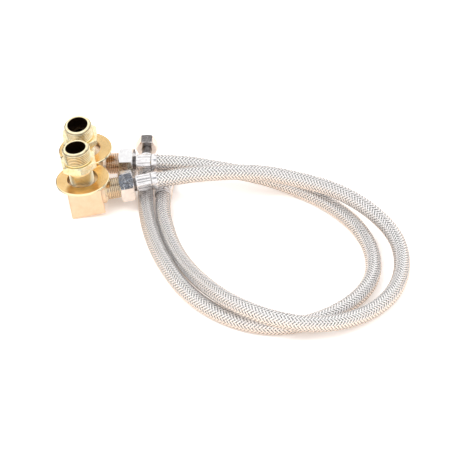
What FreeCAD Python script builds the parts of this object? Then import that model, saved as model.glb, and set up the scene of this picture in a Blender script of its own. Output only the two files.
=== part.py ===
import FreeCAD, Part
import math
import os
import Sketcher

Vector = FreeCAD.Vector
Rotation = FreeCAD.Rotation
Placement = FreeCAD.Placement

# A pair of braided stainless water supply lines. Each line starts at a brass wall elbow with a loose
# wall flange and a screwed hex adapter, and ends in a smaller swivel nut. The pair lies on a level
# surface at z = 0. The origin is on that surface, under the middle of the two elbows and what they carry.

SIZES = {
    # brass elbow: a square block with a threaded shank on top and a threaded outlet at its side
    "blockWidth": 32.0,
    "blockHeight": 31.0,
    "blockChamfer": 0.8,
    "bossDiameter": 24.6,
    "bossLength": 2.6,
    "outletNeck": 5.0,
    "outletDiameter": 20.9,
    "outletPitch": 1.814,
    "outletLength": 17.8,
    "outletBore": 13.6,
    "shankDiameter": 22.9,
    "shankLength": 25.6,
    "shankPitch": 1.6,
    "shankThread": 12.9,
    "shankTopThread": 6.4,
    "shankBore": 15.0,
    "boreDepth": 8.5,
    "threadChamfer": 1.0,
    # hex adapter screwed on the shank
    "adapterHeight": 18.2,
    "hexWidth": 31.75,
    "hexHeight": 8.0,
    "nippleDiameter": 26.4,
    "nipplePitch": 1.814,
    "nippleLength": 13.5,
    "nippleBore": 19.3,
    "nippleRelief": 0.4,
    "nippleLand": 0.4,
    "nippleChamfer": 1.75,
    # loose wall flange round the shank
    "flangeDiameter": 50.8,
    "flangeThickness": 3.0,
    "flangeHole": 29.4,
    "flangeEdge": 0.7,
    # braided hose and its crimped ferrules
    "hoseDiameter": 15.2,
    "braidWall": 0.75,
    "linerBore": 9.6,
    "ferruleWall": 0.7,
    "ferruleLength": 20.3,
    "ferruleLip": 1.4,
    "ferruleEdge": 0.6,
    "crimpWall": 0.35,
    "crimpLength": 13.2,
    # near coupling, on the elbow's outlet
    "nutWidth": 27.0,
    "nutLength": 13.5,
    "nutWall": 2.3,
    "nutThread": 6.0,
    "collarDiameter": 18.4,
    "collarThickness": 1.3,
    "gasketThickness": 1.7,
    "gasketBore": 12.0,
    "neckDiameter": 13.0,
    "neckGap": 2.4,
    "stemBore": 7.0,
    # far coupling, for a stop valve
    "farNutWidth": 18.6,
    "farNutLength": 12.0,
    "farNutWall": 2.2,
    "farThreadDiameter": 14.29,
    "farPitch": 1.058,
    "farNutThread": 6.35,
    "farCollarDiameter": 12.7,
    "farCollarThickness": 1.2,
    "farGasketThickness": 1.3,
    "farGasketBore": 7.4,
    "farNeckDiameter": 9.4,
    "farNeckGap": 15.0,
    "farStemBore": 6.0,
    # the barbs that hold the liner on both stems
    "stemGrip": 15.5,
    "barbDepth": 0.35,
    "barbPitch": 3.6,
    "barbLand": 2.2,
    "barbCount": 4,
    # clearances
    "turnClearance": 0.3,
    "endClearance": 0.3,
    "threadClearance": 0.3,
    "seatClearance": 0.05,
}

# where each elbow stands, in mm, and how it is turned about z, y and x, in degrees
ELBOWS = {
    "front": {"x": -21.5, "y": -19.0, "turn": (7.0, -8.0, 0.2)},
    "rear": {"x": -22.1, "y": 25.5, "turn": (-5.6, -5.7, 11.6)},
}
# the flanges lie loose: how far up the shank's axis, how far off it, and how each is turned
FLANGES = {
    "front": {"lift": 1.05, "off": (0.5, -1.4), "turn": (0.0, -6.0, 0.2)},
    "rear": {"lift": 3.95, "off": (2.65, -0.8), "turn": (0.0, -4.5, 2.0)},
}
# how far the six-sided pieces are turned about their own axes, in degrees
NUT_TURN = {"front": 5.0, "rear": -20.0}
ADAPTER_TURN = {"front": 2.0, "rear": 8.0}
# straight lead of the hose out of its near ferrule, from the hose's end
LEAD = {"front": 38.0, "rear": 37.0}
# the hoses' free points, as x, y and the rise of the hose above lying on the surface
ROUTES = {
    "front": [
        (107, -5.5, 25.4), (146.5, 0, 20.9), (182.5, -6, 16.4), (216, -22, 16.8),
        (248.5, -48, 12.9), (272.5, -80.5, 4.4), (276.5, -123, 0.2), (263, -165, 0),
        (233, -196.5, 1.5), (194.5, -216, 9), (155.5, -216.5, 16.6),
        (120.5, -196.5, 17.6), (94, -159, 10), (73, -112, 0.8), (58.5, -72.5, 0),
        (51.5, -28.5, 1.75), (54.2, 6.1, 1.75),
    ],
    "rear": [
        (103, 12.5, 16.4), (144.5, 15, 5.4), (181.5, 1.5, 0), (212.5, -24, 0),
        (237, -59, 0), (249.5, -99.5, 0), (247, -141, 0), (224, -177, 0),
        (187.5, -202.5, 0), (149, -208.5, 0), (110, -193, 0), (76, -159.5, 0),
        (52.5, -113.5, 0), (41.5, -71.5, 0), (35.8, -33, 0), (35, 6.4, 0.95),
        (35, 46.5, 1.5),
    ],
}
ARC_SHARE = 0.45

doc = FreeCAD.newDocument("supply_line")
sheet = doc.addObject("Spreadsheet::Sheet", "Sizes")
for row, (alias, number) in enumerate(SIZES.items(), 1):
    sheet.set(f"A{row}", alias)
    sheet.set(f"B{row}", str(number))
    sheet.setAlias(f"B{row}", alias)
doc.recompute()


class Size:
    """A length: its value, and the spreadsheet expression that gives it."""

    def __init__(self, value, text=None):
        self.value = value
        self.text = text or repr(value)

    def join(self, other, sign, value):
        return Size(value, f"({self.text} {sign} {other.text})")

    def __add__(self, other):
        other = as_size(other)
        return self.join(other, "+", self.value + other.value)

    def __sub__(self, other):
        other = as_size(other)
        return self.join(other, "-", self.value - other.value)

    def __mul__(self, other):
        other = as_size(other)
        return self.join(other, "*", self.value * other.value)

    def __truediv__(self, other):
        other = as_size(other)
        return self.join(other, "/", self.value / other.value)

    def __neg__(self):
        return Size(-self.value, f"(-1 * {self.text})")


def as_size(number):
    return number if isinstance(number, Size) else Size(number)


def whole(size):
    return Size(math.floor(size.value), f"floor({size.text})")


class Sizes:
    """The sheet's cells by name."""

    def __getattr__(self, alias):
        return Size(float(SIZES[alias]), f"Sizes.{alias}")


s = Sizes()
THREAD_HEIGHT = 0.5413  # depth of a 60 degree thread, as a share of its pitch
TAN_30 = math.tan(math.radians(30))


def origin_feature(body, role):
    return next(f for f in body.Origin.OriginFeatures if f.Role == role)


def new_body(label):
    body = doc.addObject("PartDesign::Body", label)
    body.Label = label
    return body


def outline(body, plane, points, offset=None):
    """A closed sketch of straight edges through points, every coordinate bound to the sheet."""
    sketch = body.newObject("Sketcher::SketchObject", "Outline")
    sketch.AttachmentSupport = [(origin_feature(body, plane), "")]
    sketch.MapMode = "FlatFace"
    if offset is not None:
        sketch.setExpression(".AttachmentOffset.Base.z", offset.text)
    points = [(as_size(x), as_size(y)) for x, y in points]
    places = [Vector(x.value, y.value, 0) for x, y in points]
    count = len(points)
    for i in range(count):
        sketch.addGeometry(Part.LineSegment(places[i], places[(i + 1) % count]))
    for i in range(count):
        sketch.addConstraint(Sketcher.Constraint("Coincident", i, 2, (i + 1) % count, 1))
    for i, (x, y) in enumerate(points):
        for kind, size in (("DistanceX", x), ("DistanceY", y)):
            number = sketch.addConstraint(Sketcher.Constraint(kind, -1, 1, i, 1, size.value))
            if "Sizes." in size.text:
                sketch.setExpression(f"Constraints[{number}]", size.text)
    return sketch


def turned(body, kind, points, axis):
    """A Revolution or Groove about the body's X or Z axis. Points are (along the axis, radius)."""
    if axis == "Z":
        points = [(radius, along) for along, radius in points]
    sketch = outline(body, "XZ_Plane", points)
    feature = body.newObject(f"PartDesign::{kind}", kind)
    feature.Profile = sketch
    feature.ReferenceAxis = (sketch, ["H_Axis" if axis == "X" else "V_Axis"])
    feature.Angle = 360
    return feature


def padded(body, plane, points, length, offset=None):
    feature = body.newObject("PartDesign::Pad", "Pad")
    feature.Profile = outline(body, plane, points, offset)
    feature.setExpression("Length", length.text)
    return feature


def hexagon(width):
    corner = width / 2 / math.sqrt(3)
    half = width / 2
    return [
        (half, corner), (0, corner * 2), (-half, corner),
        (-half, -corner), (0, -corner * 2), (half, -corner),
    ]


def repeated(body, feature, axis, pitch, count):
    """The feature count times along the body's axis."""
    pattern = body.newObject("PartDesign::LinearPattern", "Rings")
    pattern.Originals = [feature]
    pattern.Direction = (origin_feature(body, f"{axis}_Axis"), [""])
    pattern.setExpression("Length", (pitch * (count - 1)).text)
    pattern.setExpression("Occurrences", count.text)
    body.Tip = pattern
    return pattern


def ring_count(length, pitch):
    return whole(length / pitch)


def outside_thread(body, axis, start, length, diameter, pitch):
    """Ring grooves cut into a shaft, starting one pitch from start."""
    top = diameter / 2
    root = top - pitch * THREAD_HEIGHT
    middle = start + pitch / 2
    crest = pitch * (7 / 16)
    flat = pitch / 8
    groove = turned(body, "Groove", [
        (middle - flat, root), (middle + flat, root), (middle + crest, top),
        (middle + crest, top + 1), (middle - crest, top + 1), (middle - crest, top),
    ], axis)
    repeated(body, groove, axis, pitch, ring_count(length, pitch))


def inside_thread(body, axis, start, count, diameter, pitch, clearance):
    """Ring grooves cut into a threaded_bore, whose crests stand in the grooves of outside_thread."""
    crest = thread_bore(diameter, pitch, clearance)
    root = diameter / 2 + clearance
    middle = start + pitch / 2
    wide = pitch * (3 / 8)
    flat = pitch / 16
    groove = turned(body, "Groove", [
        (middle - wide, crest), (middle - wide, crest - 1), (middle + wide, crest - 1),
        (middle + wide, crest), (middle + flat, root), (middle - flat, root),
    ], axis)
    repeated(body, groove, axis, pitch, count)


def thread_bore(diameter, pitch, clearance):
    return diameter / 2 - pitch * THREAD_HEIGHT + clearance


def threaded_socket(mouth, start, count, bottom, diameter, pitch, clearance):
    """Half section of a bore: plain at its mouth, narrow over the thread, plain again to the bottom."""
    plain = diameter / 2 + clearance
    narrow = thread_bore(diameter, pitch, clearance)
    end = start + pitch * count
    return [
        (mouth, 0), (mouth, plain), (start, plain), (start, narrow), (end, narrow), (end, plain),
        (bottom, plain),
    ]


def break_hex_corners(body, axis, width, start, end):
    """Turns both ends of a hexagon's corners down to a cone of 30 degrees."""
    flat = width / 2 * 0.985
    out = width / 2 * 1.25
    drop = (out - flat) * TAN_30
    turned(body, "Groove", [(start, flat), (start, out), (start + drop, out)], axis)
    turned(body, "Groove", [(end, flat), (end, out), (end - drop, out)], axis)


# stations along the elbow's axes, from the middle of its block
BLOCK_TOP = s.blockHeight / 2
SHANK_END = BLOCK_TOP + s.shankLength
ADAPTER_START = BLOCK_TOP + s.adapterHeight
HEX_END = ADAPTER_START + s.hexHeight
RIM = HEX_END + s.nippleLength
BOSS_END = s.blockWidth / 2 + s.bossLength
NECK_END = BOSS_END + s.outletNeck
OUTLET_END = NECK_END + s.outletLength


def make_elbow(line):
    """Brass block with a threaded shank up Z, a threaded outlet along X and the bores that join."""
    body = new_body(f"{line}_elbow")
    half = s.blockWidth / 2
    block = padded(body, "XY_Plane", [(half, half), (-half, half), (-half, -half), (half, -half)],
                   s.blockHeight, -BLOCK_TOP)
    doc.recompute()
    chamfer = body.newObject("PartDesign::Chamfer", "Chamfer")
    chamfer.Base = (block, [f"Edge{n}" for n in range(1, len(block.Shape.Edges) + 1)])
    chamfer.setExpression("Size", s.blockChamfer.text)

    outlet = s.outletDiameter / 2
    outlet_root = outlet - s.outletPitch * THREAD_HEIGHT
    boss = s.bossDiameter / 2
    turned(body, "Revolution", [
        (0, 0), (OUTLET_END, 0), (OUTLET_END, outlet - s.threadChamfer),
        (OUTLET_END - s.threadChamfer, outlet), (NECK_END, outlet),
        (NECK_END - s.threadChamfer, outlet_root), (BOSS_END + (boss - outlet_root), outlet_root),
        (BOSS_END, boss), (0, boss),
    ], "X")
    shank = s.shankDiameter / 2
    shank_root = shank - s.shankPitch * THREAD_HEIGHT
    top_start = SHANK_END - s.threadChamfer - s.shankTopThread
    turned(body, "Revolution", [
        (0, 0), (SHANK_END, 0), (SHANK_END, shank_root), (SHANK_END - s.threadChamfer, shank), (0, shank),
    ], "Z")
    outside_thread(body, "X", NECK_END, s.outletLength - s.threadChamfer, s.outletDiameter,
                   s.outletPitch)
    outside_thread(body, "Z", BLOCK_TOP, s.shankThread, s.shankDiameter, s.shankPitch)
    outside_thread(body, "Z", top_start, s.shankTopThread, s.shankDiameter, s.shankPitch)

    shank_bore = s.shankBore / 2
    turned(body, "Groove", [
        (SHANK_END, 0), (SHANK_END, shank_bore), (-s.boreDepth, shank_bore),
        (-(s.boreDepth + shank_bore * TAN_30), 0),
    ], "Z")
    outlet_bore = s.outletBore / 2
    turned(body, "Groove", [(0, 0), (OUTLET_END, 0), (OUTLET_END, outlet_bore), (0, outlet_bore)], "X")
    return body


def make_adapter(line):
    """Hexagon with a male thread above it, screwed on the top of the shank."""
    body = new_body(f"{line}_hex_adapter")
    nipple = s.nippleDiameter / 2
    padded(body, "XY_Plane", hexagon(s.hexWidth), s.hexHeight, ADAPTER_START)
    break_hex_corners(body, "Z", s.hexWidth, ADAPTER_START, HEX_END)
    turned(body, "Revolution", [
        (HEX_END - s.hexHeight / 2, 0), (RIM, 0), (RIM, nipple - s.nippleChamfer),
        (RIM - s.nippleChamfer, nipple), (HEX_END - s.hexHeight / 2, nipple),
    ], "Z")
    outside_thread(body, "Z", HEX_END + s.nippleRelief,
                   s.nippleLength - s.nippleRelief - s.nippleLand, s.nippleDiameter, s.nipplePitch)
    start = SHANK_END - s.threadChamfer - s.shankTopThread + s.shankPitch / 2
    count = ring_count(s.shankTopThread, s.shankPitch) - 1
    seat = SHANK_END + s.endClearance
    thread = (s.shankDiameter, s.shankPitch, s.threadClearance)
    turned(body, "Groove", threaded_socket(ADAPTER_START, start, count, seat, *thread) + [
        (seat, s.nippleBore / 2), (RIM, s.nippleBore / 2), (RIM, 0),
    ], "Z")
    inside_thread(body, "Z", start, count, *thread)
    return body


def make_flange(line):
    """Flat round wall flange with a hole that leaves it loose on the shank. Its top face is at z = 0."""
    body = new_body(f"{line}_wall_flange")
    outer = s.flangeDiameter / 2
    hole = s.flangeHole / 2
    turned(body, "Revolution", [
        (0, hole), (0, outer - s.flangeEdge), (-s.flangeEdge, outer),
        (-s.flangeThickness + s.flangeEdge, outer), (-s.flangeThickness, outer - s.flangeEdge),
        (-s.flangeThickness, hole),
    ], "Z")
    return body


class Coupling:
    """The sizes and stations of one coupling, along X from its seat side towards the hose."""

    def __init__(self, name, seat, prefix, thread, pitch, nut_thread, clearance, mates_from):
        size = {
            key: getattr(s, prefix + (key if not prefix else key[0].upper() + key[1:]))
            for key in ("nutWidth", "nutLength", "nutWall", "collarDiameter", "collarThickness",
                        "gasketThickness", "gasketBore", "neckDiameter", "neckGap", "stemBore")
        }
        self.name = name
        self.size = size
        self.thread = thread
        self.pitch = pitch
        self.nut_thread = nut_thread
        self.clearance = clearance
        self.seat = seat
        self.collar_start = seat + size["gasketThickness"]
        self.collar_end = self.collar_start + size["collarThickness"]
        self.wall_start = self.collar_end + s.endClearance
        self.nut_end = self.wall_start + size["nutWall"]
        self.mouth = self.nut_end - size["nutLength"]
        self.ferrule_start = self.nut_end + size["neckGap"]
        self.hose_start = self.ferrule_start + s.ferruleLip
        self.ferrule_end = self.ferrule_start + s.ferruleLength
        # the first ridge stands in the middle of a groove of the thread that starts at mates_from
        steps = whole((self.mouth - mates_from) / pitch + 0.5) + 0.5
        self.thread_start = mates_from + pitch * steps


def make_nut(line, coupling):
    """Swivel nut: hexagon with a threaded mouth and a back wall that the stem's collar pulls on."""
    body = new_body(f"{line}_{coupling.name}_nut")
    size = coupling.size
    padded(body, "YZ_Plane", hexagon(size["nutWidth"]), size["nutLength"], coupling.mouth)
    break_hex_corners(body, "X", size["nutWidth"], coupling.mouth, coupling.nut_end)
    hole = size["neckDiameter"] / 2 + s.turnClearance
    count = ring_count(coupling.nut_thread, coupling.pitch)
    thread = (coupling.thread, coupling.pitch, coupling.clearance)
    turned(body, "Groove", threaded_socket(
        coupling.mouth, coupling.thread_start, count, coupling.wall_start, *thread) + [
        (coupling.wall_start, hole), (coupling.nut_end, hole), (coupling.nut_end, 0),
    ], "X")
    inside_thread(body, "X", coupling.thread_start, count, *thread)
    return body


def make_stem(line, coupling):
    """Tubular stem: a collar inside the nut, a neck through its wall and barbs inside the liner."""
    body = new_body(f"{line}_{coupling.name}_stem")
    size = coupling.size
    bore = size["stemBore"] / 2
    barb = s.linerBore / 2 - s.seatClearance
    core = barb - s.barbDepth
    neck = size["neckDiameter"] / 2
    end = coupling.hose_start + s.stemGrip
    turned(body, "Revolution", [
        (coupling.collar_start, bore), (coupling.collar_start, size["collarDiameter"] / 2),
        (coupling.collar_end, size["collarDiameter"] / 2), (coupling.collar_end, neck),
        (coupling.hose_start, neck), (coupling.hose_start, core), (end, core), (end, bore),
    ], "X")
    first = coupling.hose_start + s.barbPitch - s.barbLand
    ring = turned(body, "Revolution", [
        (first, bore + s.barbDepth), (first, barb), (first + s.barbLand, core),
        (first + s.barbLand, bore + s.barbDepth),
    ], "X")
    repeated(body, ring, "X", s.barbPitch, s.barbCount)
    return body


def make_gasket(line, coupling):
    body = new_body(f"{line}_{coupling.name}_gasket")
    outer = coupling.size["collarDiameter"] / 2
    bore = coupling.size["gasketBore"] / 2
    turned(body, "Revolution", [
        (coupling.seat, bore), (coupling.seat, outer), (coupling.collar_start, outer),
        (coupling.collar_start, bore),
    ], "X")
    return body


def make_ferrule(line, coupling):
    """Sleeve over the end of the hose, pressed to eight flats, with a round bead left at its end."""
    body = new_body(f"{line}_{coupling.name}_ferrule")
    outer = s.hoseDiameter / 2 + s.ferruleWall
    inner = s.hoseDiameter / 2 + s.seatClearance
    lip = coupling.size["neckDiameter"] / 2 + s.seatClearance
    start = coupling.ferrule_start
    end = coupling.ferrule_end
    turned(body, "Revolution", [
        (start, lip), (start, outer - s.ferruleEdge), (start + s.ferruleEdge, outer),
        (end - s.ferruleEdge, outer), (end, outer - s.ferruleEdge), (end, inner),
        (coupling.hose_start, inner), (coupling.hose_start, lip),
    ], "X")
    pressed = s.hoseDiameter / 2 + s.crimpWall
    flat = body.newObject("PartDesign::Pocket", "Flat")
    flat.Profile = outline(body, "YZ_Plane", [
        (-outer, pressed), (outer, pressed), (outer, outer + 1), (-outer, outer + 1),
    ], coupling.hose_start)
    flat.Reversed = True
    flat.setExpression("Length", s.crimpLength.text)
    flats = body.newObject("PartDesign::PolarPattern", "Flats")
    flats.Originals = [flat]
    flats.Axis = (origin_feature(body, "X_Axis"), [""])
    flats.Angle = 360
    flats.Occurrences = 8
    body.Tip = flats
    return body


def route_wire(points):
    """Straight runs joined by tangent arcs, each as large as its two runs allow; and the arcs' radii."""
    edges = []
    radii = []
    last = points[0]
    for before, corner, after in zip(points, points[1:], points[2:]):
        back = before - corner
        ahead = after - corner
        cut = ARC_SHARE * min(back.Length, ahead.Length)
        back.normalize()
        ahead.normalize()
        half_turn = (math.pi - back.getAngle(ahead)) / 2
        radius = cut / math.tan(half_turn)
        start = corner + back * cut
        end = corner + ahead * cut
        inward = (back + ahead).normalize()
        middle = corner + inward * (radius / math.cos(half_turn) - radius)
        edges.append(Part.LineSegment(last, start).toShape())
        edges.append(Part.Arc(start, middle, end).toShape())
        radii.append(radius)
        last = end
    edges.append(Part.LineSegment(last, points[-1]).toShape())
    return Part.Wire(edges), radii


def make_tube(label, route, start, direction, outer, inner):
    """A hollow pipe: a ring of two circles swept along the route."""
    body = new_body(label)
    spine = body.newObject("PartDesign::SubShapeBinder", f"{label}_Spine")
    spine.Support = [(route, [f"Edge{n}" for n in range(1, len(route.Shape.Edges) + 1)])]
    ring = body.newObject("Sketcher::SketchObject", f"{label}_Ring")
    ring.Placement = Placement(start, Rotation(Vector(0, 0, 1), direction))
    for diameter in (outer, inner):
        circle = ring.addGeometry(Part.Circle(Vector(), Vector(0, 0, 1), diameter.value / 2))
        ring.addConstraint(Sketcher.Constraint("Coincident", circle, 3, -1, 1))
        size = ring.addConstraint(Sketcher.Constraint("Diameter", circle, diameter.value))
        ring.setExpression(f"Constraints[{size}]", diameter.text)
    pipe = body.newObject("PartDesign::AdditivePipe", f"{label}_Pipe")
    pipe.Profile = ring
    pipe.Spine = (spine, [f"Edge{n}" for n in range(1, len(route.Shape.Edges) + 1)])
    body.Tip = pipe
    section = math.pi / 4 * (outer.value ** 2 - inner.value ** 2)
    return body, section * route.Shape.Length


def elbow_frame(line):
    """The elbow's place: the lowest corner of its chamfered block is on the surface."""
    place = ELBOWS[line]
    turn = Rotation(*place["turn"])
    half = (s.blockWidth.value / 2, s.blockWidth.value / 2, s.blockHeight.value / 2)
    rises = [abs(turn.multVec(Vector(*axis)).z) for axis in ((1, 0, 0), (0, 1, 0), (0, 0, 1))]
    cut = s.blockChamfer.value * (sum(rises) - max(rises))
    height = sum(rise * reach for rise, reach in zip(rises, half)) - cut
    return Placement(Vector(place["x"], place["y"], height), turn)


def flange_frame(line, elbow):
    place = FLANGES[line]
    off_x, off_y = place["off"]
    top = BLOCK_TOP.value + place["lift"] + s.flangeThickness.value / 2
    middle = elbow.multVec(Vector(off_x, off_y, top))
    turn = Rotation(*place["turn"])
    return Placement(middle + turn.multVec(Vector(0, 0, s.flangeThickness.value / 2)), turn)


def place(bodies, frame):
    for body in bodies:
        body.Placement = frame


near = Coupling("near", OUTLET_END, "", s.outletDiameter, s.outletPitch, s.nutThread,
                s.threadClearance, NECK_END)
far = Coupling("far", as_size(0), "far", s.farThreadDiameter, s.farPitch, s.farNutThread,
               as_size(0), as_size(0))
FAR_NUT_TURN = 30.0  # lies on one of its flats
subparts = []
expected_volumes = {}
for line in ("front", "rear"):
    frame = elbow_frame(line)
    elbow = make_elbow(line)
    adapter = make_adapter(line)
    flange = make_flange(line)
    near_pieces = [make(line, near) for make in (make_stem, make_gasket, make_ferrule)]
    far_pieces = [make(line, far) for make in (make_stem, make_gasket, make_ferrule)]
    near_nut = make_nut(line, near)
    far_nut = make_nut(line, far)
    place([elbow, *near_pieces], frame)
    near_nut.Placement = frame * Placement(Vector(), Rotation(Vector(1, 0, 0), NUT_TURN[line]))
    adapter.Placement = frame * Placement(Vector(), Rotation(Vector(0, 0, 1), ADAPTER_TURN[line]))
    flange.Placement = flange_frame(line, frame)

    lying = s.hoseDiameter.value / 2
    start = frame.multVec(Vector(near.hose_start.value, 0, 0))
    lead = frame.multVec(Vector(near.hose_start.value + LEAD[line], 0, 0))
    points = [start, lead] + [Vector(x, y, lying + rise) for x, y, rise in ROUTES[line]]
    wire, radii = route_wire(points)
    print(line, "hose", round(wire.Length, 1), "mm, radii", [round(radius) for radius in radii])
    print(line, "route", [tuple(round(value, 2) for value in point) for point in points])
    route = doc.addObject("Part::Feature", f"{line}_route")
    route.Shape = wire
    hose_axis = (lead - start).normalize()
    liner_outer = s.hoseDiameter - s.braidWall * 2 - s.seatClearance * 2
    tubes = {
        f"{line}_braid": (s.hoseDiameter, s.hoseDiameter - s.braidWall * 2),
        f"{line}_liner": (liner_outer, s.linerBore),
    }
    for label, (outer, inner) in tubes.items():
        tube, volume = make_tube(label, route, start, hose_axis, outer, inner)
        expected_volumes[label] = volume
        subparts.append(tube)

    towards_hose = (points[-2] - points[-1]).normalize()
    across = Vector(0, 0, 1).cross(towards_hose).normalize()
    far_turn = Rotation(towards_hose, across, towards_hose.cross(across), "XYZ")
    far_frame = Placement(points[-1] - towards_hose * far.hose_start.value, far_turn)
    place(far_pieces, far_frame)
    far_nut.Placement = far_frame * Placement(Vector(), Rotation(Vector(1, 0, 0), FAR_NUT_TURN))
    subparts += [elbow, adapter, flange, near_nut, *near_pieces, far_nut, *far_pieces]

doc.recompute()
for thing in doc.Objects:
    if "Invalid" in thing.State or "Error" in thing.State:
        raise RuntimeError(f"{thing.Name} ({thing.Label}) is {thing.State}")
for part in subparts:
    if part.Shape.isNull() or not part.Shape.isValid():
        raise RuntimeError(f"{part.Label} has no valid shape")
    if part.Label in expected_volumes:
        share = part.Shape.Volume / expected_volumes[part.Label]
        print(part.Label, "volume against section times length", round(share, 5))
        if abs(share - 1) > 0.002:
            raise RuntimeError(f"{part.Label} isn't a clean sweep")
os.makedirs("parts", exist_ok=True)
for part in subparts:
    part.Shape.exportStep(f"parts/{part.Label}.step")
print(len(subparts), "sub-parts written")
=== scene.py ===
import bpy
import math
from mathutils import Matrix, Vector


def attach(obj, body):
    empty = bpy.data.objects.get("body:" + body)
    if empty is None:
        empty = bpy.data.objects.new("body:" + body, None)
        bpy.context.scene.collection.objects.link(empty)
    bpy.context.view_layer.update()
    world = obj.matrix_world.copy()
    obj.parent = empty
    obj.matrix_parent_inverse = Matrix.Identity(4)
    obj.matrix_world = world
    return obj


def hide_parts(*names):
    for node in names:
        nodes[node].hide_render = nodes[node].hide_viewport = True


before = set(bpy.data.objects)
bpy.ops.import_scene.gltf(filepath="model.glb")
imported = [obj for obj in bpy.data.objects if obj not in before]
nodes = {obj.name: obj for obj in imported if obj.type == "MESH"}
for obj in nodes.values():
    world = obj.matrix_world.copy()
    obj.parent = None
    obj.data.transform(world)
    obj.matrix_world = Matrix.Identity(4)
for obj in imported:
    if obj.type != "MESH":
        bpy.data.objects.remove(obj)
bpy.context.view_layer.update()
scene = bpy.context.scene
scene.view_settings.view_transform = "Standard"
print("frame loaded:", len(nodes), "nodes")

fullTurn = 2 * math.pi
millimetres = 1000.0  # in one metre

cameraSetup = {
    "target": (0.1185, -0.0705, 0.0100),
    "elevation": 37.5,  # degrees above the floor
    "distance": 3.0,
    "fieldWidth": 0.436,  # of the view, at the target
    "sensor": 36.0,
    "clip": (0.05, 30.0),
}


def makeCamera(setup):
    data = bpy.data.cameras.new("camera")
    data.sensor_width = setup["sensor"]
    data.lens = setup["sensor"] * setup["distance"] / setup["fieldWidth"]
    data.clip_start, data.clip_end = setup["clip"]
    camera = bpy.data.objects.new("camera", data)
    scene.collection.objects.link(camera)
    rise = math.radians(setup["elevation"])
    away = Vector((0, -math.cos(rise), math.sin(rise)))
    camera.location = Vector(setup["target"]) + away * setup["distance"]
    camera.rotation_euler = away.to_track_quat("Z", "Y").to_euler()
    scene.camera = camera


makeCamera(cameraSetup)
print("camera made")


def fillSockets(tree, sockets, values):
    # Another node's socket is linked; anything else is set as the socket's own value.
    for key, value in values:
        if isinstance(value, bpy.types.NodeSocket):
            tree.links.new(value, sockets[key])
        else:
            sockets[key].default_value = value


def addNode(tree, kind, inputs=None, **settings):
    node = tree.nodes.new(kind)
    for key, value in settings.items():
        setattr(node, key, value)
    fillSockets(tree, node.inputs, (inputs or {}).items())
    return node


def calc(tree, operation, *values, clamp=False):
    return addNode(tree, "ShaderNodeMath", dict(enumerate(values)),
                   operation=operation, use_clamp=clamp).outputs[0]


def times(tree, first, second):
    return calc(tree, "MULTIPLY", first, second)


def plus(tree, first, second):
    return calc(tree, "ADD", first, second)


def vectorCalc(tree, operation, *values):
    node = addNode(tree, "ShaderNodeVectorMath", dict(enumerate(values)), operation=operation)
    return node.outputs["Value" if operation == "LENGTH" else "Vector"]


def scaled(tree, vector, factor):
    return addNode(tree, "ShaderNodeVectorMath", {0: vector, "Scale": factor},
                   operation="SCALE").outputs["Vector"]


def ramped(tree, value, start, end, low=0.0, high=1.0, curve="LINEAR"):
    # Goes from low to high while the value goes from start to end.
    return addNode(tree, "ShaderNodeMapRange", {
        "Value": value, "From Min": start, "From Max": end, "To Min": low, "To Max": high,
    }, interpolation_type=curve).outputs["Result"]


def noise(tree, vector, values):
    return addNode(tree, "ShaderNodeTexNoise", {"Vector": vector, **values}).outputs["Fac"]


def opaque(colour):
    return (*colour, 1.0)


def mixBetween(tree, kind, values, blend="MIX"):
    # A mix node has sockets of every kind, and shows only those of its own.
    node = addNode(tree, "ShaderNodeMix", data_type=kind, blend_type=blend)
    shown = [socket for socket in node.inputs if socket.enabled]
    fillSockets(tree, shown, enumerate(values))
    return next(socket for socket in node.outputs if socket.enabled)


def mixColour(tree, factor, first, second, blend="MIX"):
    ends = [value if isinstance(value, bpy.types.NodeSocket) else opaque(value)
            for value in (first, second)]
    return mixBetween(tree, "RGBA", (factor, *ends), blend)


def mixValue(tree, factor, first, second):
    return mixBetween(tree, "FLOAT", (factor, first, second))


def newGroup(name, kind, inputs, outputs):
    group = bpy.data.node_groups.new(name, kind)
    for way, sockets in (("INPUT", inputs), ("OUTPUT", outputs)):
        for label, socketType, start in sockets:
            socket = group.interface.new_socket(label, in_out=way, socket_type=socketType)
            if start is not None:
                socket.default_value = start
    source = group.nodes.new("NodeGroupInput")
    sink = group.nodes.new("NodeGroupOutput")
    return group, source.outputs, sink.inputs


# The fittings lie where the solids lie.
elbowSetup = {
    "width": 0.032,
    "height": 0.031,
    "chamfer": 0.0008,
    "lies": {"front": (-0.0215, -0.0190, 7.0, -8.0, 0.2),  # x, y, then yaw, pitch and roll
             "rear": (-0.0221, 0.0255, -5.6, -5.7, 11.6)},
}


def placeFrom(at, xAxis, yAxis):
    xAxis, yAxis = Vector(xAxis).normalized(), Vector(yAxis).normalized()
    place = Matrix((xAxis, yAxis, xAxis.cross(yAxis))).transposed().to_4x4()
    place.translation = Vector(at)
    return place


def turnBy(yaw, pitch, roll, size):
    return (Matrix.Rotation(math.radians(yaw), size, "Z")
            @ Matrix.Rotation(math.radians(pitch), size, "Y")
            @ Matrix.Rotation(math.radians(roll), size, "X"))


def elbowPlace(setup, x, y, yaw, pitch, roll):
    # The block's lowest edge or corner rests on the floor.
    turn = turnBy(yaw, pitch, roll, 3)
    rises = [abs(value) for value in turn.row[2]]
    half = (setup["width"] / 2, setup["width"] / 2, setup["height"] / 2)
    height = sum(rise * reach for rise, reach in zip(rises, half))
    height -= setup["chamfer"] * (sum(rises) - max(rises))
    place = turn.to_4x4()
    place.translation = Vector((x, y, height))
    return place


def farPlace(end, before, hoseStart):
    towardsHose = (Vector(before) - Vector(end)).normalized()
    across = Vector((0, 0, 1)).cross(towardsHose)
    return placeFrom(Vector(end) - towardsHose * hoseStart, towardsHose, across)


def alongX(place):
    # The same place with its x axis as z, for what lies on the outlet's line.
    return place @ Matrix.Rotation(math.radians(90), 4, "Y")


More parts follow.
